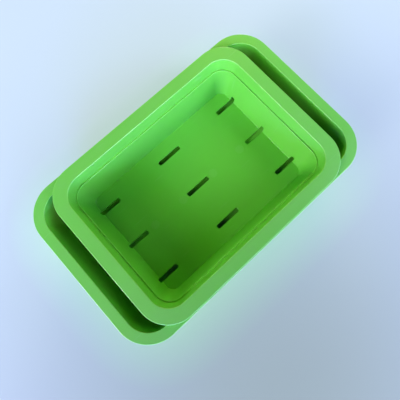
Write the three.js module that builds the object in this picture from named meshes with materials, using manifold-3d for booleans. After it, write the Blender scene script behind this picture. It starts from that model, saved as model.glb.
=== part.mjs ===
// A microgreens tray in two pieces: a growing tray with drainage slots hangs by its rim in a longer
// water tray, whose two ends stay open as filling wells.
// Millimetres, +Z up, +X along the trays. The origin is under the middle of the tray, on its lowest plane.

import * as THREE from 'three';
import { mergeVertices } from 'three/addons/utils/BufferGeometryUtils.js';
import Module from 'manifold-3d';

// ---------- driving dimensions ----------

const WALL = 2;                 // walls and floors
const RIM_THICKNESS = 2.2;
const LIP_HEIGHT = 4.7;         // growing tray's rim turns down this far, and stands on the water tray's rim
const LIP_WALL = 2;
const SEAT_GAP = 0.3;           // under the lip
const FOOT_HEIGHT = 1;          // low foot rim under the water tray
const FOOT_WIDTH = 5;
const RESERVOIR_HEIGHT = 10;    // water space under the growing tray's floor
const GROWING_DEPTH = 51;       // growing tray's rim to its floor

// Each outline is a rounded rectangle, by half length, half width and corner radius.
const GROWING_RIM = { x: 124.3, y: 92.6, radius: 32.7 };
const WATER_RIM = { x: 151.3, y: 94.3, radius: 35.3 };

// Inset is the distance inwards from a tray's rim outline.
const GROWING_MOUTH = { inset: 13.6, radius: 21.8 };
const GROWING_FLOOR = { inset: 24.5, radius: 9.4 };
const WATER_MOUTH = { inset: 10.5, radius: 25.3 };
const WATER_FLOOR = { inset: 23, radius: 12.7 };

const SHOULDER_DEPTH = 13.5;    // small ledge round the inside of the growing tray
const SHOULDER_INSET = 16.2;
const SHOULDER_WIDTH = 1.8;

const RIM_EDGE = 0.9;           // rounding of a rim's upper edges
const RIM_UNDER_EDGE = 0.4;     // rounding of a rim's lower edges
const FLOOR_FILLET = 2;

const SLOT_WIDTH = 5;
const SLOT_CORNER = 1.6;        // corner radius of a slot, in plan
const SLOT_ROW_PITCH = 49.5;    // across the tray
const MIDDLE_SLOT_END = 15.5;   // middle slots run this far to each side of the centre
const END_SLOT_START = 75.9;    // end slots run from here through the foot of the end wall
const END_SLOT_STOP = 106;
const END_SLOT_RISE = 7;        // height of an end slot's round top in the end wall

const PAD = { x: 20, y: 8, radius: 4 };         // top of each support pad in the water tray
const PAD_CENTRE = 90;
const PAD_FLARE = 0.6;          // how far a pad widens to its foot
const PAD_CLEARANCE = 2.5;      // the growing tray's floor sags this far before a pad holds it

const CORNER_STEPS = 9;         // straight pieces in each quarter turn of an outline
const FILLET_STEPS = 3;
const MERGE_DISTANCE = 1e-4;

const LEAF_GREEN = 0x5fc23a;    // satin injection-moulded plastic, the same for both trays
const SATIN = 0.45;

// ---------- heights ----------

const WATER_FLOOR_Z = FOOT_HEIGHT + WALL;
const GROWING_UNDERSIDE_Z = WATER_FLOOR_Z + RESERVOIR_HEIGHT;
const GROWING_FLOOR_Z = GROWING_UNDERSIDE_Z + WALL;
const GROWING_RIM_Z = GROWING_FLOOR_Z + GROWING_DEPTH;
const GROWING_RIM_UNDER_Z = GROWING_RIM_Z - RIM_THICKNESS;
const LIP_BOTTOM_Z = GROWING_RIM_Z - LIP_HEIGHT;
const WATER_RIM_Z = LIP_BOTTOM_Z - SEAT_GAP;
const PAD_TOP_Z = GROWING_UNDERSIDE_Z - PAD_CLEARANCE;

// ---------- solids ----------

const manifold = await Module();
manifold.setup();

function toSolid(geometry) {
  geometry.deleteAttribute('normal');
  geometry.deleteAttribute('uv');
  const merged = mergeVertices(geometry, MERGE_DISTANCE);
  return new manifold.Manifold(new manifold.Mesh({
    numProp: 3,
    vertProperties: new Float32Array(merged.attributes.position.array),
    triVerts: new Uint32Array(merged.index.array),
  }));
}

function toMesh(name, solid) {
  const { vertProperties, triVerts } = solid.getMesh();
  const geometry = new THREE.BufferGeometry();
  geometry.setAttribute('position', new THREE.BufferAttribute(vertProperties, 3));
  geometry.setIndex(new THREE.BufferAttribute(triVerts, 1));
  geometry.computeVertexNormals();
  const material = new THREE.MeshStandardMaterial({ color: LEAF_GREEN, roughness: SATIN, metalness: 0 });
  const mesh = new THREE.Mesh(geometry, material);
  mesh.name = name;
  return mesh;
}

// The points of a rounded rectangle, anticlockwise seen from above.
function outlinePoints({ x, y, radius }) {
  const points = [];
  const signs = [[1, 1], [-1, 1], [-1, -1], [1, -1]];
  signs.forEach(([signX, signY], quarter) => {
    const start = quarter * Math.PI / 2;
    const arc = new THREE.EllipseCurve(
      signX * (x - radius), signY * (y - radius), radius, radius, start, start + Math.PI / 2);
    points.push(...arc.getPoints(CORNER_STEPS));
  });
  return points;
}

// A closed solid through a stack of outlines, each { x, y, radius, z }, with flat ends.
// It may turn over at a rim: the first outline faces up and the last one faces down.
function loft(outlines) {
  const rings = outlines.map(outlinePoints);
  const count = rings[0].length;
  const positions = rings.flatMap((ring, i) => ring.flatMap((point) => [point.x, point.y, outlines[i].z]));
  const triangles = [];
  for (let ring = 0; ring < rings.length - 1; ring += 1) {
    for (let i = 0; i < count; i += 1) {
      const next = (i + 1) % count;
      const [a, b] = [ring * count + i, ring * count + next];
      triangles.push(a, a + count, b, b, a + count, b + count);
    }
  }
  const last = (rings.length - 1) * count;
  for (const [a, b, c] of THREE.ShapeUtils.triangulateShape(rings[0], [])) triangles.push(a, b, c);
  for (const [a, b, c] of THREE.ShapeUtils.triangulateShape(rings.at(-1), [])) {
    triangles.push(last + a, last + c, last + b);
  }
  const geometry = new THREE.BufferGeometry();
  geometry.setAttribute('position', new THREE.Float32BufferAttribute(positions, 3));
  geometry.setIndex(triangles);
  return geometry;
}

// ---------- tray sections ----------

// A section is a list of corners, each an inset, a z and an optional fillet radius, from the middle
// of the floor up the inside, over the rim and down the outside to the middle of the underside.
const corner = (inset, z, fillet = 0) => ({ point: new THREE.Vector2(inset, z), fillet });

function filletedSection(corners) {
  return corners.flatMap(({ point, fillet }, i) => {
    if (fillet === 0) return [point];
    const toBefore = corners[i - 1].point.clone().sub(point);
    const toAfter = corners[i + 1].point.clone().sub(point);
    const opening = toBefore.angleTo(toAfter);
    const reach = fillet / Math.tan(opening / 2);
    const start = point.clone().add(toBefore.setLength(reach));
    const end = point.clone().add(toAfter.setLength(reach));
    return new THREE.QuadraticBezierCurve(start, point, end).getPoints(FILLET_STEPS);
  });
}

// The corner radius falls evenly from the rim to the mouth, and from the mouth to the floor.
function radiusAt(inset, rim, mouth, floor) {
  const { mapLinear } = THREE.MathUtils;
  return inset < mouth.inset
    ? mapLinear(inset, 0, mouth.inset, rim.radius, mouth.radius)
    : Math.max(mapLinear(inset, mouth.inset, floor.inset, mouth.radius, floor.radius), WALL);
}

function trayBody(corners, rim, mouth, floor) {
  const outlines = filletedSection(corners).map(({ x: inset, y: z }) => ({
    x: rim.x - inset,
    y: rim.y - inset,
    radius: radiusAt(inset, rim, mouth, floor),
    z,
  }));
  return toSolid(loft(outlines));
}

// ---------- growing tray ----------

function growingTraySection() {
  const shoulderZ = GROWING_RIM_Z - SHOULDER_DEPTH;
  const ledgeInset = SHOULDER_INSET + SHOULDER_WIDTH;
  const bandSlope = (SHOULDER_INSET - GROWING_MOUTH.inset) / SHOULDER_DEPTH;
  const wallSlope = (GROWING_FLOOR.inset - ledgeInset) / (shoulderZ - GROWING_FLOOR_Z);
  const outsideLedgeZ = shoulderZ - WALL;
  return [
    corner(GROWING_FLOOR.inset + 2 * FLOOR_FILLET, GROWING_FLOOR_Z),
    corner(GROWING_FLOOR.inset, GROWING_FLOOR_Z, FLOOR_FILLET),
    corner(ledgeInset, shoulderZ, SHOULDER_WIDTH / 3),
    corner(SHOULDER_INSET, shoulderZ),
    corner(GROWING_MOUTH.inset, GROWING_RIM_Z, RIM_EDGE),
    corner(0, GROWING_RIM_Z, RIM_EDGE),
    corner(0, LIP_BOTTOM_Z, RIM_UNDER_EDGE),
    corner(LIP_WALL, LIP_BOTTOM_Z, RIM_UNDER_EDGE),
    corner(LIP_WALL, GROWING_RIM_UNDER_Z, RIM_UNDER_EDGE),
    corner(GROWING_MOUTH.inset + bandSlope * RIM_THICKNESS - WALL, GROWING_RIM_UNDER_Z, RIM_UNDER_EDGE),
    corner(SHOULDER_INSET + bandSlope * WALL - WALL, outsideLedgeZ),
    corner(ledgeInset + wallSlope * WALL - WALL, outsideLedgeZ),
    corner(GROWING_FLOOR.inset + wallSlope * WALL - WALL, GROWING_UNDERSIDE_Z, FLOOR_FILLET + WALL),
    corner(GROWING_FLOOR.inset + 2 * FLOOR_FILLET, GROWING_UNDERSIDE_Z),
  ];
}

// A slot from startX to stopX at a given y: round-cornered in plan, and round-topped where it meets a wall.
function slotCutter(startX, stopX, y) {
  const half = SLOT_WIDTH / 2;
  const belowZ = GROWING_UNDERSIDE_Z - 1;
  const topZ = GROWING_FLOOR_Z + END_SLOT_RISE;
  const plan = new THREE.Shape(outlinePoints({ x: (stopX - startX) / 2, y: half, radius: SLOT_CORNER }));
  const prism = new THREE.ExtrudeGeometry(plan, { depth: topZ + 1 - belowZ, bevelEnabled: false });
  prism.translate((startX + stopX) / 2, y, belowZ);

  const arch = new THREE.Shape()
    .moveTo(y + half, belowZ)
    .lineTo(y + half, topZ - half)
    .absarc(y, topZ - half, half, 0, Math.PI)
    .lineTo(y - half, belowZ);
  const tunnel = new THREE.ExtrudeGeometry(arch, {
    depth: stopX - startX + 2, bevelEnabled: false, curveSegments: CORNER_STEPS,
  });
  tunnel.rotateX(Math.PI / 2).rotateZ(Math.PI / 2).translate(startX - 1, 0, 0);
  return toSolid(prism).intersect(toSolid(tunnel));
}

function growingTray() {
  let tray = trayBody(growingTraySection(), GROWING_RIM, GROWING_MOUTH, GROWING_FLOOR);
  for (const y of [-SLOT_ROW_PITCH, 0, SLOT_ROW_PITCH]) {
    tray = tray.subtract(slotCutter(-MIDDLE_SLOT_END, MIDDLE_SLOT_END, y));
    tray = tray.subtract(slotCutter(END_SLOT_START, END_SLOT_STOP, y));
    tray = tray.subtract(slotCutter(-END_SLOT_STOP, -END_SLOT_START, y));
  }
  return toMesh('growing_tray', tray);
}

// ---------- water tray ----------

function waterTraySection() {
  const depth = WATER_RIM_Z - WATER_FLOOR_Z;
  const slope = (WATER_FLOOR.inset - WATER_MOUTH.inset) / depth;
  const outsideFootInset = WATER_FLOOR.inset + slope * WATER_FLOOR_Z - WALL;
  const footInnerInset = outsideFootInset + FOOT_WIDTH;
  return [
    corner(footInnerInset + FOOT_HEIGHT, WATER_FLOOR_Z),
    corner(WATER_FLOOR.inset, WATER_FLOOR_Z, FLOOR_FILLET),
    corner(WATER_MOUTH.inset, WATER_RIM_Z, RIM_EDGE),
    corner(0, WATER_RIM_Z, RIM_EDGE),
    corner(0, WATER_RIM_Z - RIM_THICKNESS, RIM_UNDER_EDGE),
    corner(WATER_MOUTH.inset + slope * RIM_THICKNESS - WALL, WATER_RIM_Z - RIM_THICKNESS, WALL / 2),
    corner(outsideFootInset, 0, FLOOR_FILLET),
    corner(footInnerInset, 0),
    corner(footInnerInset + FOOT_HEIGHT, FOOT_HEIGHT),
  ];
}

// A block that widens downwards by a flare, placed at (centreX, 0).
function taperedBlock(top, topZ, bottomZ, flare, centreX) {
  const grow = (by, z) => ({ x: top.x + by, y: top.y + by, radius: top.radius + by, z });
  const block = loft([grow(0, topZ), grow(flare, bottomZ)]);
  return toSolid(block.translate(centreX, 0, 0));
}

function supportPad(centreX) {
  return taperedBlock(PAD, PAD_TOP_Z, FOOT_HEIGHT, PAD_FLARE, centreX);
}

// Each pad is hollow from below, with walls as thick as the floor.
function padHollow(centreX) {
  const top = { x: PAD.x - WALL, y: PAD.y - WALL, radius: PAD.radius - WALL };
  return taperedBlock(top, PAD_TOP_Z - WALL, 0, PAD_FLARE, centreX);
}

function waterTray() {
  let tray = trayBody(waterTraySection(), WATER_RIM, WATER_MOUTH, WATER_FLOOR);
  for (const centreX of [-PAD_CENTRE, PAD_CENTRE]) {
    tray = tray.add(supportPad(centreX)).subtract(padHollow(centreX));
  }
  return toMesh('water_tray', tray);
}

const microgreensTray = new THREE.Group();
microgreensTray.add(waterTray(), growingTray());

export default microgreensTray;
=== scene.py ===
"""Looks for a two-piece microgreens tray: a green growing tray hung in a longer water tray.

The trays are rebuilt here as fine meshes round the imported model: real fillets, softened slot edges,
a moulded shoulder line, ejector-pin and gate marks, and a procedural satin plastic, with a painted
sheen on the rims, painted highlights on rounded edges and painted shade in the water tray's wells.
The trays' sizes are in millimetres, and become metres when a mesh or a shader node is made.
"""

import math

import bmesh
import bpy
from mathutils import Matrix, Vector


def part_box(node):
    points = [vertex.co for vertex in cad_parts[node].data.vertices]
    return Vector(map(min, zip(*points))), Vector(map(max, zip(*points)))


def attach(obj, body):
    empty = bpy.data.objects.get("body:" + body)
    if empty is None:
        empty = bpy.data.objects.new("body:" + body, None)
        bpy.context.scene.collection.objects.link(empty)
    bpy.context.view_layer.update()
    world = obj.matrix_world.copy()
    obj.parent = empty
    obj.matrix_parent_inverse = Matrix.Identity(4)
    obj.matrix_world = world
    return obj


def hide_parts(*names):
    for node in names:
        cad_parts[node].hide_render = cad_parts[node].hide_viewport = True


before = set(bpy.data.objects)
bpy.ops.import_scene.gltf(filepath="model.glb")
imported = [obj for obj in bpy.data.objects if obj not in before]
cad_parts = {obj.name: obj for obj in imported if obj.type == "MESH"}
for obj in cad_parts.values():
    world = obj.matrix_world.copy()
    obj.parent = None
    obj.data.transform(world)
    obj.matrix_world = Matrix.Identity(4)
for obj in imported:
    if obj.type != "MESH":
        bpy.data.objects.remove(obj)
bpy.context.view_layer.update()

MM = 0.001

# ---------- driving dimensions, in millimetres ----------

WALL = 2.0
RIM_THICKNESS = 2.2
SEAT_GAP = 0.3
FOOT_HEIGHT = 1.0
FOOT_WIDTH = 5.0

# Outlines are rounded rectangles. An inset is the distance inwards from a tray's rim outline.
GROWING_RADII = {0.0: 32.7, 13.6: 21.8, 24.5: 9.4}
WATER_RADII = {0.0: 35.3, 10.5: 25.3, 23.0: 12.7}
GROWING_MOUTH, GROWING_FLOOR = list(GROWING_RADII)[1:]
WATER_MOUTH, WATER_FLOOR = list(WATER_RADII)[1:]

SHOULDER_DEPTH = 13.5
SHOULDER_INSET = 16.2
SHOULDER_WIDTH = 1.8
SHOULDER_EDGE = 0.4
GROOVE_WIDTH = 0.5
GROOVE_DEPTH = 0.35

LIP_WALL = 2.0
LIP_EDGE = 0.5
MOUTH_EDGE = 0.7
RIM_EDGE = 0.6
RIM_UNDER_EDGE = 0.4
FLOOR_FILLET = 0.3
CREASE = 0.12

SLOT_WIDTH = 5.0
SLOT_CORNER = 1.6
SLOT_ROW_PITCH = 49.5
MIDDLE_SLOT_END = 15.5
END_SLOT_START = 75.9
END_SLOT_STOP = 106.0
END_SLOT_RISE = 7.0
SLOT_EDGE = 0.2

PAD_HALF_LENGTH = 20.0
PAD_HALF_WIDTH = 8.0
PAD_RADIUS = 4.0
PAD_CENTRE = 90.0
PAD_CLEARANCE = 2.5
PAD_FLARE = 0.6
PAD_EDGE = 0.8

PIN_MARK_RADIUS = 5.0
PIN_MARK_DEPTH = 0.12
PIN_MARK_FLARE = 0.3
PIN_MARK_PLACES = (23.0, 65.0)
GATE_DIMPLE_RADIUS = 4.0
GATE_DIMPLE_DEPTH = 0.5
GATE_NUB_RADIUS = 1.1

CORNER_STEPS = 22
FILLET_STEPS = 6
MARK_STEPS = 48
EDGE_STEPS = 3
ROUND_PROFILE = 0.5

# Points closer than this are one point. A cutter runs this far past the surfaces that it cuts.
WELD = 0.001
CUT_PAST = 1.0

# Degrees between faces from which a slot's edge is rounded, and from which any edge is shaded sharp.
ROUNDED_ANGLE = 50
SHARP_ANGLE = 35
NORMAL_WEIGHT = 80


def extents(node):
    """Half length, half width, lowest z and highest z of a CAD node, in millimetres."""
    low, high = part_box(node)
    return high.x / MM, high.y / MM, low.z / MM, high.z / MM


GROWING_X, GROWING_Y, GROWING_UNDERSIDE, GROWING_RIM = extents("growing_tray")
WATER_X, WATER_Y, TABLE, WATER_RIM = extents("water_tray")
GROWING_BASE = GROWING_UNDERSIDE + WALL
WATER_BASE = FOOT_HEIGHT + WALL


# ---------- mesh code ----------

def outline(half_x, half_y, radius):
    """The points of a rounded rectangle, anticlockwise seen from above."""
    points = []
    for quarter, (sign_x, sign_y) in enumerate(((1, 1), (-1, 1), (-1, -1), (1, -1))):
        centre = Vector((sign_x * (half_x - radius), sign_y * (half_y - radius)))
        for step in range(CORNER_STEPS + 1):
            angle = (quarter + step / CORNER_STEPS) * math.pi / 2
            points.append(centre + radius * Vector((math.cos(angle), math.sin(angle))))
    return points


def make_object(name, bm):
    """A mesh object from a bmesh, with outward faces. The bmesh is used up."""
    bmesh.ops.remove_doubles(bm, verts=bm.verts, dist=WELD * MM)
    bmesh.ops.recalc_face_normals(bm, faces=bm.faces)
    mesh = bpy.data.meshes.new(name)
    bm.to_mesh(mesh)
    bm.free()
    piece = bpy.data.objects.new(name, mesh)
    bpy.context.scene.collection.objects.link(piece)
    return piece


def join_loops(bm, lower, upper):
    """A band of faces between two loops of as many points."""
    for i in range(len(lower)):
        j = (i + 1) % len(lower)
        bm.faces.new((lower[i], lower[j], upper[j], upper[i]))


def loft(name, rings, centre=(0.0, 0.0)):
    """A closed solid through rings, each a list of points and a z, with flat ends."""
    bm = bmesh.new()
    loops = []
    for points, z in rings:
        places = [((p.x + centre[0]) * MM, (p.y + centre[1]) * MM, z * MM) for p in points]
        loops.append([bm.verts.new(place) for place in places])
    for lower, upper in zip(loops, loops[1:]):
        join_loops(bm, lower, upper)
    bm.faces.new(loops[0])
    bm.faces.new(loops[-1])
    return make_object(name, bm)


def filleted(corners):
    """Section points from corners (inset, z, fillet radius), each fillet as points on an arc."""
    points = []
    for i, (inset, z, fillet) in enumerate(corners):
        here = Vector((inset, z))
        if fillet == 0:
            points.append(here)
            continue
        before = (Vector(corners[i - 1][:2]) - here).normalized()
        after = (Vector(corners[i + 1][:2]) - here).normalized()
        half_angle = before.angle(after) / 2
        reach = fillet / math.tan(half_angle)
        centre = here + (before + after).normalized() * fillet / math.sin(half_angle)
        start = here + before * reach - centre
        turn = -start.angle_signed(here + after * reach - centre)
        for step in range(FILLET_STEPS + 1):
            angle = turn * step / FILLET_STEPS
            cos, sin = math.cos(angle), math.sin(angle)
            turned = Vector((start.x * cos - start.y * sin, start.x * sin + start.y * cos))
            points.append(centre + turned)
    return points


def radius_at(inset, radii):
    """The corner radius at an inset: evenly between those that are given, and never under WALL."""
    insets = list(radii)
    first = insets[0] if inset < insets[1] else insets[1]
    second = insets[1] if inset < insets[1] else insets[2]
    share = (inset - first) / (second - first)
    return max(radii[first] + share * (radii[second] - radii[first]), WALL)


def tray_shell(name, half_x, half_y, radii, corners):
    """A tray from its section: from the floor up the inside, over the rim and down the outside."""
    rings = []
    for inset, z in filleted(corners):
        rings.append((outline(half_x - inset, half_y - inset, radius_at(inset, radii)), z))
    return loft(name, rings)


def cut_or_join(piece, others, operation):
    """Joins other solids to a piece, cuts them out of it or keeps what they share. They are removed."""
    for other in others:
        modifier = piece.modifiers.new(operation, "BOOLEAN")
        modifier.operation = operation
        modifier.solver = "EXACT"
        modifier.object = other
    bake_modifiers(piece)
    for other in others:
        bpy.data.objects.remove(other)


def bake_modifiers(piece):
    depsgraph = bpy.context.evaluated_depsgraph_get()
    baked = bpy.data.meshes.new_from_object(piece.evaluated_get(depsgraph))
    piece.modifiers.clear()
    piece.data = baked


def soften_edges(piece, width, chosen):
    """Rounds the sharp edges for which chosen(midpoint in mm) is true."""
    bm = bmesh.new()
    bm.from_mesh(piece.data)
    bmesh.ops.dissolve_degenerate(bm, dist=WELD * MM, edges=bm.edges)
    sharp = [
        edge for edge in bm.edges
        if edge.is_manifold and edge.calc_face_angle() > math.radians(ROUNDED_ANGLE)
        and chosen((edge.verts[0].co + edge.verts[1].co) / 2 / MM)
    ]
    bmesh.ops.bevel(
        bm, geom=sharp, offset=width * MM, segments=EDGE_STEPS, profile=ROUND_PROFILE,
        affect="EDGES", clamp_overlap=True,
    )
    bm.to_mesh(piece.data)
    bm.free()


def smooth(piece):
    """Smooth shading that keeps flats flat and creases sharp."""
    for polygon in piece.data.polygons:
        polygon.use_smooth = True
    piece.data.set_sharp_from_angle(angle=math.radians(SHARP_ANGLE))
    modifier = piece.modifiers.new("weighted normals", "WEIGHTED_NORMAL")
    modifier.keep_sharp = True
    modifier.weight = NORMAL_WEIGHT
    bake_modifiers(piece)


def circle(radius):
    angles = [2 * math.pi * i / MARK_STEPS for i in range(MARK_STEPS)]
    return [Vector((radius * math.cos(angle), radius * math.sin(angle))) for angle in angles]


def disc(name, centre, radius, z_low, z_high, flare=0.0):
    """A round plug, wider at the top by a flare."""
    return loft(name, [(circle(radius), z_low), (circle(radius + flare), z_high)], centre)


# ---------- growing tray ----------

def growing_tray_section():
    shoulder = GROWING_RIM - SHOULDER_DEPTH
    ledge = SHOULDER_INSET + SHOULDER_WIDTH
    band_slope = (SHOULDER_INSET - GROWING_MOUTH) / SHOULDER_DEPTH
    wall_slope = (GROWING_FLOOR - ledge) / (shoulder - GROWING_BASE)
    rim_under = GROWING_RIM - RIM_THICKNESS
    ledge_under = shoulder - WALL
    return [
        (GROWING_FLOOR + 2 * FLOOR_FILLET, GROWING_BASE, 0),
        (GROWING_FLOOR, GROWING_BASE, FLOOR_FILLET),
        (ledge, shoulder, SHOULDER_EDGE),
        (SHOULDER_INSET + GROOVE_WIDTH, shoulder, CREASE),
        (SHOULDER_INSET + GROOVE_WIDTH / 2, shoulder - GROOVE_DEPTH, 0),
        (SHOULDER_INSET, shoulder, 0),
        (GROWING_MOUTH, GROWING_RIM, MOUTH_EDGE),
        (0, GROWING_RIM, RIM_EDGE),
        (0, WATER_RIM + SEAT_GAP, LIP_EDGE),
        (LIP_WALL, WATER_RIM + SEAT_GAP, LIP_EDGE),
        (LIP_WALL, rim_under, LIP_EDGE),
        (GROWING_MOUTH + band_slope * RIM_THICKNESS - WALL, rim_under, RIM_UNDER_EDGE),
        (SHOULDER_INSET + band_slope * WALL - WALL, ledge_under, CREASE),
        (ledge + wall_slope * WALL - WALL, ledge_under, CREASE),
        (GROWING_FLOOR + wall_slope * WALL - WALL, GROWING_UNDERSIDE, FLOOR_FILLET + WALL),
        (GROWING_FLOOR + 2 * FLOOR_FILLET + WALL, GROWING_UNDERSIDE, 0),
    ]


def slot_arch(start_x, stop_x, y, low, top):
    """A bar along X with a half-round top, as wide as a slot."""
    half = SLOT_WIDTH / 2
    arch = [Vector((half, low))]
    for step in range(2 * CORNER_STEPS + 1):
        angle = math.pi * step / (2 * CORNER_STEPS)
        arch.append(Vector((half * math.cos(angle), top - half + half * math.sin(angle))))
    arch.append(Vector((-half, low)))
    bm = bmesh.new()
    ends = []
    for x in (start_x - CUT_PAST, stop_x + CUT_PAST):
        ends.append([bm.verts.new((x * MM, (y + p.x) * MM, p.y * MM)) for p in arch])
    join_loops(bm, *ends)
    bm.faces.new(ends[0])
    bm.faces.new(ends[1])
    return make_object("slot_arch", bm)


def slot_cutter(start_x, stop_x, y):
    """A slot, round-cornered in plan and round-topped where it meets an end wall."""
    low = GROWING_UNDERSIDE - CUT_PAST
    top = GROWING_BASE + END_SLOT_RISE
    plan = outline((stop_x - start_x) / 2, SLOT_WIDTH / 2, SLOT_CORNER)
    prism = loft("slot_plan", [(plan, low), (plan, top + CUT_PAST)], ((start_x + stop_x) / 2, y))
    cut_or_join(prism, [slot_arch(start_x, stop_x, y, low, top)], "INTERSECT")
    return prism


def near_slot(point):
    return point.z < GROWING_BASE + END_SLOT_RISE + CUT_PAST


def pin_mark_centres():
    return [(side * x, 0) for x in PIN_MARK_PLACES for side in (-1, 1)]


def make_growing_tray():
    section = growing_tray_section()
    tray = tray_shell("growing_tray_shell", GROWING_X, GROWING_Y, GROWING_RADII, section)
    cutters = []
    for y in (-SLOT_ROW_PITCH, 0, SLOT_ROW_PITCH):
        cutters.append(slot_cutter(-MIDDLE_SLOT_END, MIDDLE_SLOT_END, y))
        cutters.append(slot_cutter(END_SLOT_START, END_SLOT_STOP, y))
        cutters.append(slot_cutter(-END_SLOT_STOP, -END_SLOT_START, y))
    cut_or_join(tray, cutters, "DIFFERENCE")
    soften_edges(tray, SLOT_EDGE, near_slot)
    low, high = GROWING_BASE - PIN_MARK_DEPTH, GROWING_BASE + CUT_PAST
    marks = [disc("pin_mark", centre, PIN_MARK_RADIUS, low, high, PIN_MARK_FLARE)
             for centre in pin_mark_centres()]
    cut_or_join(tray, marks, "DIFFERENCE")
    smooth(tray)
    return tray


# ---------- water tray ----------

def water_tray_section():
    slope = (WATER_FLOOR - WATER_MOUTH) / (WATER_RIM - WATER_BASE)
    rim_under = WATER_RIM - RIM_THICKNESS
    outside_foot = WATER_FLOOR + slope * WATER_BASE - WALL
    inside_foot = outside_foot + FOOT_WIDTH
    return [
        (inside_foot + FOOT_HEIGHT, WATER_BASE, 0),
        (WATER_FLOOR, WATER_BASE, FLOOR_FILLET),
        (WATER_MOUTH, WATER_RIM, RIM_EDGE),
        (0, WATER_RIM, RIM_EDGE),
        (0, rim_under, RIM_UNDER_EDGE),
        (WATER_MOUTH + slope * RIM_THICKNESS - WALL, rim_under, WALL / 2),
        (outside_foot, TABLE, FLOOR_FILLET),
        (inside_foot, TABLE, CREASE * 2),
        (inside_foot + FOOT_HEIGHT, FOOT_HEIGHT, CREASE * 2),
        (inside_foot + 2 * FOOT_HEIGHT, FOOT_HEIGHT, 0),
    ]


def support_pad(centre_x):
    """A raised pad in the water tray's floor, widening to its foot, with a softened top edge."""
    top = GROWING_UNDERSIDE - PAD_CLEARANCE
    rings = []
    for step in range(FILLET_STEPS + 1):
        angle = step / FILLET_STEPS * math.pi / 2
        inwards = PAD_EDGE * (1 - math.sin(angle))
        rings.append((pad_outline(-inwards), top - PAD_EDGE * (1 - math.cos(angle))))
    rings.append((pad_outline(PAD_FLARE), FOOT_HEIGHT + WALL / 2))
    return loft("pad", rings, (centre_x, 0))


def pad_outline(outwards):
    return outline(PAD_HALF_LENGTH + outwards, PAD_HALF_WIDTH + outwards, PAD_RADIUS + outwards)


def pad_hollow(centre_x):
    top = GROWING_UNDERSIDE - PAD_CLEARANCE - WALL
    rings = [(pad_outline(-WALL), top), (pad_outline(PAD_FLARE - WALL), TABLE - CUT_PAST)]
    return loft("pad_hollow", rings, (centre_x, 0))


def make_water_tray():
    tray = tray_shell("water_tray_shell", WATER_X, WATER_Y, WATER_RADII, water_tray_section())
    cut_or_join(tray, [support_pad(-PAD_CENTRE), support_pad(PAD_CENTRE)], "UNION")
    low, high = FOOT_HEIGHT - CUT_PAST, FOOT_HEIGHT + GATE_DIMPLE_DEPTH
    dimple = disc("gate_dimple", (0, 0), GATE_DIMPLE_RADIUS, low, high)
    cut_or_join(tray, [pad_hollow(-PAD_CENTRE), pad_hollow(PAD_CENTRE), dimple], "DIFFERENCE")
    nub = disc("gate_nub", (0, 0), GATE_NUB_RADIUS, FOOT_HEIGHT, FOOT_HEIGHT + WALL / 2)
    cut_or_join(tray, [nub], "UNION")
    smooth(tray)
    return tray


# ---------- nodes ----------

def node(tree, kind, inputs=None, **settings):
    """A new shader node. Each of its inputs is a socket to link or a plain value."""
    made = tree.nodes.new(kind)
    for name, value in settings.items():
        setattr(made, name, value)
    for name, value in (inputs or {}).items():
        if isinstance(value, bpy.types.NodeSocket):
            tree.links.new(value, made.inputs[name])
        else:
            made.inputs[name].default_value = value
    return made


def empty_tree(owner):
    """The node tree of a new material or world, with its usual nodes removed."""
    owner.use_nodes = True
    owner.node_tree.nodes.clear()
    return owner.node_tree


def mixed(tree, share, low, high):
    """A colour that goes from low to high as share goes from 0 to 1. Each is a colour or a socket."""
    mix = node(tree, "ShaderNodeMix", {"Factor": share}, data_type="RGBA")
    colours = [socket for socket in mix.inputs if socket.type == "RGBA"]
    for socket, colour in zip(colours, (low, high)):
        if isinstance(colour, bpy.types.NodeSocket):
            tree.links.new(colour, socket)
        else:
            socket.default_value = (*colour, 1)
    return [socket for socket in mix.outputs if socket.type == "RGBA"][0]


def mixed_shader(tree, share, low, high):
    return node(tree, "ShaderNodeMixShader", {0: share, 1: low, 2: high}).outputs[0]


def noise(tree, place, pattern, seed=0.0):
    """Noise of a pattern, which is its scale and its detail."""
    scale, detail = pattern
    inputs = {"Vector": place, "W": seed, "Scale": scale, "Detail": detail}
    return node(tree, "ShaderNodeTexNoise", inputs, noise_dimensions="4D").outputs["Fac"]


def ramp(tree, value, start, stop, low=0.0, high=1.0, shape="LINEAR"):
    """The value's way from start to stop, as a number from low to high."""
    inputs = {"Value": value, "From Min": start, "From Max": stop, "To Min": low, "To Max": high}
    return node(tree, "ShaderNodeMapRange", inputs, interpolation_type=shape).outputs["Result"]


def product(tree, first, second):
    return node(tree, "ShaderNodeMath", {0: first, 1: second}, operation="MULTIPLY").outputs[0]


def total(tree, first, second):
    return node(tree, "ShaderNodeMath", {0: first, 1: second}, operation="ADD").outputs[0]


def vector(tree, operation, first, second=(0, 0, 0)):
    """The result of a vector operation: a number for a distance, a dot product or a length."""
    made = node(tree, "ShaderNodeVectorMath", {0: first, 1: second}, operation=operation)
    number = operation in ("DISTANCE", "DOT_PRODUCT", "LENGTH")
    return made.outputs["Value" if number else "Vector"]


def z_of(tree, place):
    return node(tree, "ShaderNodeSeparateXYZ", {"Vector": place}).outputs["Z"]


# ---------- plastic ----------

# Linear colours: the clouded plastic, a painted sheen on the rim, hairline scuffs, painted highlights
# on rounded edges, and painted shade in the water tray's wells.
GREEN_DEEP = (0.115, 0.53, 0.041)
GREEN_LIGHT = (0.125, 0.57, 0.045)
GREEN_PAINTED_SHEEN = (0.146, 0.535, 0.070)
GREEN_SCUFFED = (0.24, 0.62, 0.16)
GREEN_EDGE_HIGHLIGHT = (0.25, 0.69, 0.11)
GREEN_WELL_SHADE = (0.15, 0.42, 0.026)

# How much of the scuffs' colour a full scuff and a pin mark take, and where a pin mark is full.
SCUFF_SHARE = 0.3
PIN_MARK_SHARE = 0.15
PIN_MARK_FULL = 0.9
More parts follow.
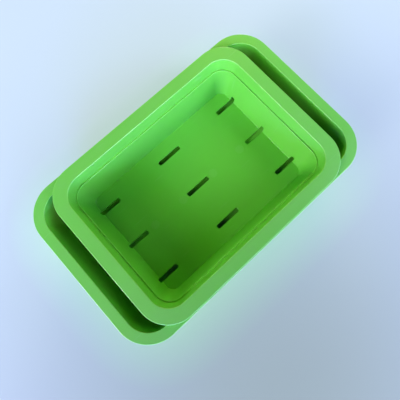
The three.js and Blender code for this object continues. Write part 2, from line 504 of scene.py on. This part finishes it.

# Depths in millimetres below the rim, for the painted sheen on the rim and the painted shade in the
# wells, and how far above and below an edge its painted highlight reaches.
PAINTED_SHEEN_DEPTH = 1.6
WELL_SHADE_START = 4.0
WELL_SHADE_FADE = 12.0
RIM_HIGHLIGHT_REACH = 1.0
LEDGE_HIGHLIGHT_REACH = 0.5

# An edge is where the z of the normal lies between a level surface's and a wall's: each pair is where
# the edge begins and where it is full.
LEVEL_SIDE = (0.99, 0.85)
WALL_SIDE = (0.3, 0.5)

# The painted shade is on what faces the tray's middle, where the level part of the place dotted with
# the normal is negative. It begins at the first of these values, in metres, and is full at the second.
FACING_IN = (0.0, -0.01)
LEVEL = (1, 1, 0)

# Each noise's scale in cells a metre, and its detail. The scuffs' noise takes a stretched place.
CLOUDS = (14.0, 3.0)
PATCHINESS = (60.0, 4.0)
GLOSS = (45.0, 5.0)
WAVES = (30.0, 1.0)
GRAIN = (2600.0, 2.0)
SCUFFS = (1.0, 2.0)
SCUFF_STRETCH = (35.0, 900.0, 35.0)
SCUFF_TURN = (0, 0, 0.5)
SCUFF_RANGE = (0.66, 0.74)

# Noise keeps to about this range, which is spread over the values that follow it.
NOISE_RANGE = (0.3, 0.7)
PATCHINESS_VALUES = (0.7, 1.0)
ROUGHNESS_VALUES = (0.30, 0.40)
SCUFF_ROUGHNESS = 0.15

# A different part of the noises for each tray.
GROWING_SEED = 7
WATER_SEED = 0

WAVE_BUMP = {"Strength": 0.15, "Distance": 0.001}
GRAIN_BUMP = {"Strength": 0.06, "Distance": 0.0002}
PLASTIC = {
    "IOR": 1.55,
    "Subsurface Weight": 0.12,
    "Subsurface Radius": (0.4, 1.0, 0.2),
    "Subsurface Scale": 0.003,
}


def painted_edge_highlights(tree, height, levels):
    """Where the painted highlights go: 1 on the rounded edges at the given heights, and 0 elsewhere."""
    steepness = z_of(tree, node(tree, "ShaderNodeNewGeometry").outputs["Normal"])
    turning = product(tree, ramp(tree, steepness, *LEVEL_SIDE), ramp(tree, steepness, *WALL_SIDE))
    near = 0.0
    for level, reach in levels:
        above = ramp(tree, height, (level - reach) * MM, (level - reach / 2) * MM)
        below = ramp(tree, height, (level + reach) * MM, (level + reach / 2) * MM)
        near = total(tree, near, product(tree, above, below))
    return product(tree, turning, near)


def with_painted_well_shade(tree, place, tint):
    """The tint with painted shade, darker and browner, on the inside of the walls below the rim."""
    normal = node(tree, "ShaderNodeNewGeometry").outputs["Normal"]
    outward = vector(tree, "DOT_PRODUCT", vector(tree, "MULTIPLY", place, LEVEL), normal)
    top = WATER_RIM - WELL_SHADE_START
    depth = ramp(tree, z_of(tree, place), top * MM, (top - WELL_SHADE_FADE) * MM)
    # Painted shade, darker and browner, deep on the inward-facing walls.
    well_shade = product(tree, ramp(tree, outward, *FACING_IN), depth)
    return mixed(tree, well_shade, tint, GREEN_WELL_SHADE)


def with_pin_marks(tree, place, tint):
    """The tint, paler on the marks that the ejector pins left."""
    reach = PIN_MARK_RADIUS * MM
    marks = 0.0
    for x, y in pin_mark_centres():
        away = vector(tree, "DISTANCE", place, (x * MM, y * MM, GROWING_BASE * MM))
        marks = total(tree, marks, ramp(tree, away, reach, PIN_MARK_FULL * reach))
    return mixed(tree, product(tree, marks, PIN_MARK_SHARE), tint, GREEN_SCUFFED)


def hairline_scuffs(tree, place, seed):
    """1 on thin scuffs drawn out along a slanting line, and 0 elsewhere."""
    turn = {"Vector": place, "Rotation": SCUFF_TURN, "Scale": SCUFF_STRETCH}
    drawn_out = node(tree, "ShaderNodeMapping", turn).outputs["Vector"]
    return ramp(tree, noise(tree, drawn_out, SCUFFS, seed), *SCUFF_RANGE)


def colour_with_wear_and_painted_light(tree, place, seed, rim_height, edges, scuffs, with_own_tint):
    """The clouded green with a patchy painted sheen on its rim, scuffs, the tint that only this tray
    has, and patchy painted highlights on its rounded edges.
    """
    height = z_of(tree, place)
    on_rim = ramp(tree, height, (rim_height - PAINTED_SHEEN_DEPTH) * MM, (rim_height - PAINTED_SHEEN_DEPTH / 4) * MM)
    patchiness = ramp(tree, noise(tree, place, PATCHINESS, seed + 1), *NOISE_RANGE, *PATCHINESS_VALUES)
    tint = mixed(tree, noise(tree, place, CLOUDS, seed), GREEN_DEEP, GREEN_LIGHT)
    # Painted sheen on the rim tops, made patchy by the noise.
    tint = mixed(tree, product(tree, on_rim, patchiness), tint, GREEN_PAINTED_SHEEN)
    tint = mixed(tree, product(tree, scuffs, SCUFF_SHARE), tint, GREEN_SCUFFED)
    tint = with_own_tint(tree, place, tint)
    # Painted highlights on the rounded edges of the rim and, on the growing tray, of the ledge.
    return mixed(tree, product(tree, painted_edge_highlights(tree, height, edges), patchiness), tint, GREEN_EDGE_HIGHLIGHT)


def plastic_relief(tree, place):
    """The normal of slightly wavy plastic with a fine grain."""
    waves = {"Height": noise(tree, place, WAVES), **WAVE_BUMP}
    wavy = node(tree, "ShaderNodeBump", waves).outputs["Normal"]
    grain = {"Height": noise(tree, place, GRAIN), "Normal": wavy, **GRAIN_BUMP}
    return node(tree, "ShaderNodeBump", grain).outputs["Normal"]


def green_plastic(name, seed, rim_height, edges, with_own_tint):
    """Satin injection-moulded plastic with a painted sheen and painted edge highlights, and the tint
    that only
    one tray has: pin marks on the growing tray, and painted shade in the water tray's wells.
    """
    material = bpy.data.materials.new(name)
    material.use_nodes = True
    tree = material.node_tree
    shader = tree.nodes["Principled BSDF"]
    place = node(tree, "ShaderNodeTexCoord").outputs["Object"]
    scuffs = hairline_scuffs(tree, place, seed + 2)
    tint = colour_with_wear_and_painted_light(tree, place, seed, rim_height, edges, scuffs, with_own_tint)
    gloss = ramp(tree, noise(tree, place, GLOSS, seed + 3), *NOISE_RANGE, *ROUGHNESS_VALUES)
    roughness = total(tree, gloss, product(tree, scuffs, SCUFF_ROUGHNESS))
    tree.links.new(tint, shader.inputs["Base Color"])
    tree.links.new(roughness, shader.inputs["Roughness"])
    tree.links.new(plastic_relief(tree, place), shader.inputs["Normal"])
    for socket, value in PLASTIC.items():
        shader.inputs[socket].default_value = value
    return material


def growing_plastic():
    # Heights of the painted edge highlights on the rim and the ledge, and how far each reaches.
    edges = [(GROWING_RIM, RIM_HIGHLIGHT_REACH), (GROWING_RIM - SHOULDER_DEPTH, LEDGE_HIGHLIGHT_REACH)]
    return green_plastic("growing_tray_plastic", GROWING_SEED, GROWING_RIM, edges, with_pin_marks)


def water_plastic():
    # Height of the painted edge highlight on the rim, and how far it reaches.
    edges = [(WATER_RIM, RIM_HIGHLIGHT_REACH)]
    # The water tray's own tint is painted shade in its wells.
    return green_plastic("water_tray_plastic", WATER_SEED, WATER_RIM, edges, with_painted_well_shade)


def dress(piece, name, cad_node, material):
    piece.name = name
    piece.data.name = name
    piece.data.materials.clear()
    piece.data.materials.append(material)
    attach(piece, "root")
    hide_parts(cad_node)


# ---------- stage ----------

# The photo's camera, from a fit to its rims made outside this script.
CAMERA_PLACE = Vector((-43.8, -54.1, 351.4)) * MM
CAMERA_AIM = Vector((-14.4, -19.3, 66.0)) * MM
CAMERA_UP = Vector((0.668, 0.727, 0.157))
LENS = 27.0
SENSOR = 36.0


def make_camera():
    data = bpy.data.cameras.new("camera")
    data.lens = LENS
    data.sensor_width = SENSOR
    camera = bpy.data.objects.new("camera", data)
    bpy.context.scene.collection.objects.link(camera)
    back = (CAMERA_PLACE - CAMERA_AIM).normalized()
    right = CAMERA_UP.cross(back).normalized()
    up = back.cross(right)
    turn = camera.matrix_world.to_3x3()
    turn.col[0], turn.col[1], turn.col[2] = right, up, back
    camera.matrix_world = turn.to_4x4()
    camera.location = CAMERA_PLACE
    bpy.context.scene.camera = camera


# Where each lamp stands, in degrees of elevation and of azimuth from +X towards +Y, and its watts of
# red, green and blue. A fit of test renders to the photo, made outside this script, picked the places
# from a grid and gave the watts. Red's and green's are its rounded values. Most of blue's were lowered.
LAMPS = {
    "low_back": (8, 45, (24, 22, 17)),
    "low_front": (8, 270, (37, 34, 80)),
    "left": (20, 180, (41, 31, 53)),
    "front_left": (20, 225, (12, 17, 95)),
    "back": (35, 45, (7, 6, 0)),
    "high_left": (35, 180, (12, 14, 6)),
    "high_front": (35, 315, (24, 25, 42)),
    "top_front": (55, 225, (8, 10, 4)),
}
LAMP_DISTANCE = 2.0
LAMP_SIZE = 0.9

# Two corners, in metres, of a level black card over the near side, which the camera doesn't see. It
# makes the soft shade that the photo has there.
FLAG_LOW = Vector((-0.45, -0.50, 0.30))
FLAG_HIGH = Vector((0.25, -0.12, 0.30))
BLACK = (0, 0, 0)
WHITE = (1, 1, 1)

# The sky: its colour to the camera, its sheen in reflections low down and overhead, the z of the
# direction from which it is the second, and the strength of its light.
HORIZON = (0.64, 0.79, 0.98)
GLOSS_HORIZON = (0.3, 0.37, 0.45)
ZENITH = (0.03, 0.04, 0.05)
GLOSS_FADE = 0.35
AMBIENT = 0.02

# The table, in metres, with a painted shadow: darkest at a place on the near side, and as pale as the
# horizon further out. The shadow's tone is one that only the camera sees, and the darker albedo, which
# takes the lamps' light, paints the same shadow. The albedos take the lamps' light, and most of their
# values, the dark place and its reach were fitted to the photo outside this script too.
TABLE_RADIUS = 6.0
TABLE_STEPS = 96
TABLE_SHADOW_PLACE = (-0.1, -0.25, 0)
TABLE_SHADOW_REACH = 0.6
TABLE_SHADOW_TONE = (0.40, 0.50, 0.66)
TABLE_SHADOW_ALBEDO = (0.29, 0.39, 0.18)
TABLE_PALE_ALBEDO = (0.59, 0.74, 0.70)

# How much of what the camera sees of the table is lit and shaded, and from where to where that
# share fades out.
TABLE_LIT_SHARE = 0.5
TABLE_LIT_NEAR, TABLE_LIT_FAR = 0.4, 0.8

# The green that the trays cast on the table, seen by the camera only: full on the near and left sides,
# which GREEN_CAST_SIDE points to, and a smaller share on the others. It changes from one to the other
# within GREEN_CAST_TURN of the middle.
GREEN_CAST = (1.12, 1.65, 0.98)
GREEN_CAST_REACH = 0.065
GREEN_CAST_SIDE = (-0.7, -0.7, 0)
GREEN_CAST_TURN = 0.05
GREEN_CAST_FAR_SHARE = 0.4


def direction(elevation, azimuth):
    """A unit vector from angles in degrees."""
    up, round_z = math.radians(elevation), math.radians(azimuth)
    level = math.cos(up)
    return Vector((level * math.cos(round_z), level * math.sin(round_z), math.sin(up)))


def add_lamp(name, place, aim, watts):
    """A soft disc lamp, unseen by the camera."""
    data = bpy.data.lights.new(name, "AREA")
    data.shape = "DISK"
    data.size = LAMP_SIZE
    data.energy = max(watts)
    data.color = [w / max(watts) for w in watts]
    lamp = bpy.data.objects.new(name, data)
    bpy.context.scene.collection.objects.link(lamp)
    lamp.location = place
    lamp.rotation_euler = (place - aim).to_track_quat("Z", "Y").to_euler()
    lamp.visible_camera = False


def make_lights():
    middle = Vector((0, 0, GROWING_RIM * MM))
    for name, (elevation, azimuth, watts) in LAMPS.items():
        place = middle + LAMP_DISTANCE * direction(elevation, azimuth)
        add_lamp(name, place, middle, watts)


def make_flag():
    low, high = FLAG_LOW, FLAG_HIGH
    corners = [(low.x, low.y), (high.x, low.y), (high.x, high.y), (low.x, high.y)]
    bm = bmesh.new()
    bm.faces.new([bm.verts.new((x, y, low.z)) for x, y in corners])
    flag = make_object("flag", bm)
    black = bpy.data.materials.new("flag")
    tree = empty_tree(black)
    matt = node(tree, "ShaderNodeBsdfDiffuse", {"Color": (*BLACK, 1)})
    node(tree, "ShaderNodeOutputMaterial", {"Surface": matt.outputs[0]})
    flag.data.materials.append(black)
    flag.visible_camera = False


def background(tree, colour, strength=1.0):
    inputs = {"Color": colour, "Strength": strength}
    return node(tree, "ShaderNodeBackground", inputs).outputs[0]


def make_world():
    """The horizon for the camera, a darker zenith in reflections, and a little ambient light."""
    world = bpy.data.worlds.new("sky")
    tree = empty_tree(world)
    height = z_of(tree, node(tree, "ShaderNodeTexCoord").outputs["Generated"])
    sheen = mixed(tree, ramp(tree, height, 0.0, GLOSS_FADE), GLOSS_HORIZON, ZENITH)
    ray = node(tree, "ShaderNodeLightPath").outputs
    ambient = background(tree, (*HORIZON, 1), AMBIENT)
    unseen = mixed_shader(tree, ray["Is Glossy Ray"], ambient, background(tree, sheen))
    surface = mixed_shader(tree, ray["Is Camera Ray"], unseen, background(tree, (*HORIZON, 1)))
    node(tree, "ShaderNodeOutputWorld", {"Surface": surface})
    bpy.context.scene.world = world


def beside_tray(tree, place):
    """1 on the table close to the tray at its near and left sides, less at the others, 0 far away."""
    corner = WATER_RADII[0.0]
    core = ((WATER_X - corner) * MM, (WATER_Y - corner) * MM, 0)
    out = vector(tree, "SUBTRACT", vector(tree, "ABSOLUTE", place), core)
    away = vector(tree, "LENGTH", vector(tree, "MAXIMUM", out))
    close = ramp(tree, away, corner * MM + GREEN_CAST_REACH, corner * MM)
    side = vector(tree, "DOT_PRODUCT", place, GREEN_CAST_SIDE)
    share = ramp(tree, side, -GREEN_CAST_TURN, GREEN_CAST_TURN, GREEN_CAST_FAR_SHARE)
    return product(tree, close, share)


def table_material():
    """A pale matt table with a painted shadow towards the near side, whose far reaches melt into the
    horizon.
    """
    material = bpy.data.materials.new("table")
    tree = empty_tree(material)
    place = node(tree, "ShaderNodeTexCoord").outputs["Object"]
    away = vector(tree, "DISTANCE", place, TABLE_SHADOW_PLACE)
    paler = ramp(tree, away, 0.0, TABLE_SHADOW_REACH, shape="SMOOTHSTEP")
    # The painted shadow, both in the albedo and in the tone that the camera sees.
    albedo = mixed(tree, paler, TABLE_SHADOW_ALBEDO, TABLE_PALE_ALBEDO)
    cast = mixed(tree, beside_tray(tree, place), WHITE, GREEN_CAST)
    tone = vector(tree, "MULTIPLY", mixed(tree, paler, TABLE_SHADOW_TONE, HORIZON), cast)
    matt = node(tree, "ShaderNodeBsdfDiffuse", {"Color": albedo}).outputs[0]
    glow = node(tree, "ShaderNodeEmission", {"Color": tone}).outputs[0]
    lit = ramp(tree, away, TABLE_LIT_NEAR, TABLE_LIT_FAR, TABLE_LIT_SHARE, 0.0)
    in_view = mixed_shader(tree, lit, glow, matt)
    camera_ray = node(tree, "ShaderNodeLightPath").outputs["Is Camera Ray"]
    surface = mixed_shader(tree, camera_ray, matt, in_view)
    node(tree, "ShaderNodeOutputMaterial", {"Surface": surface})
    return material


def make_table():
    bm = bmesh.new()
    bmesh.ops.create_circle(bm, cap_ends=True, segments=TABLE_STEPS, radius=TABLE_RADIUS)
    table = make_object("table", bm)
    table.data.materials.append(table_material())


make_camera()
make_world()
make_lights()
make_flag()
make_table()
water_tray = make_water_tray()
dress(water_tray, "water_tray_moulding", "water_tray", water_plastic())
growing_tray = make_growing_tray()
dress(growing_tray, "growing_tray_moulding", "growing_tray", growing_plastic())
bpy.context.scene.view_settings.view_transform = "Standard"
